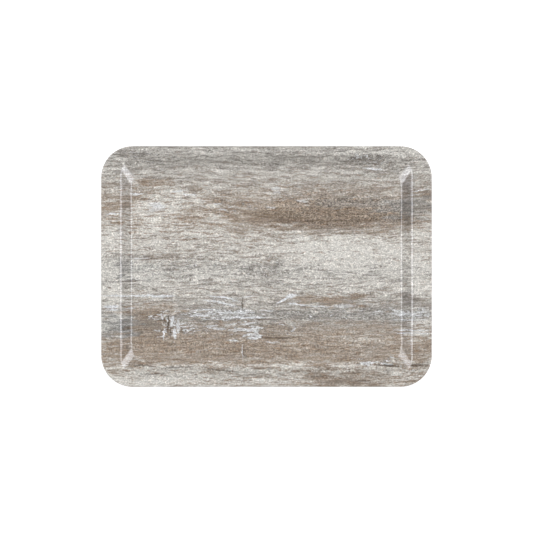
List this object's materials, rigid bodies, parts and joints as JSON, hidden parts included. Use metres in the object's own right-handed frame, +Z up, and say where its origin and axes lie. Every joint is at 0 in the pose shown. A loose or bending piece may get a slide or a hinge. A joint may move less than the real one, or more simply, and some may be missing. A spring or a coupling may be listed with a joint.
{
  "type": "serving tray",
  "caption": "Shallow rectangular serving tray pressed from laminate, with rounded corners, sloping walls, a flat rim that widens into a grip at each end, and a weathered-wood print.",
  "frame": {"origin": "centre of the underside of the flat floor, where the tray stands", "axes": "+Z up, +X along the tray's length, +Y across its width"},
  "size_m": [0.44, 0.32, 0.018],
  "materials": {
    "overlay": "clear satin melamine resin",
    "decor": "weathered wood print under clear resin",
    "core": "dark brown phenolic kraft laminate, trimmed edge",
    "backing": "plain warm grey melamine, fine texture"
  },
  "bodies": {
    "root": {"overlay": "overlay", "decor_sheet": "decor", "core_sheet_1": "core", "core_sheet_2": "core", "core_sheet_3": "core", "core_sheet_4": "core", "core_sheet_5": "core", "backing_sheet": "backing"}
  },
  "joints": []
}
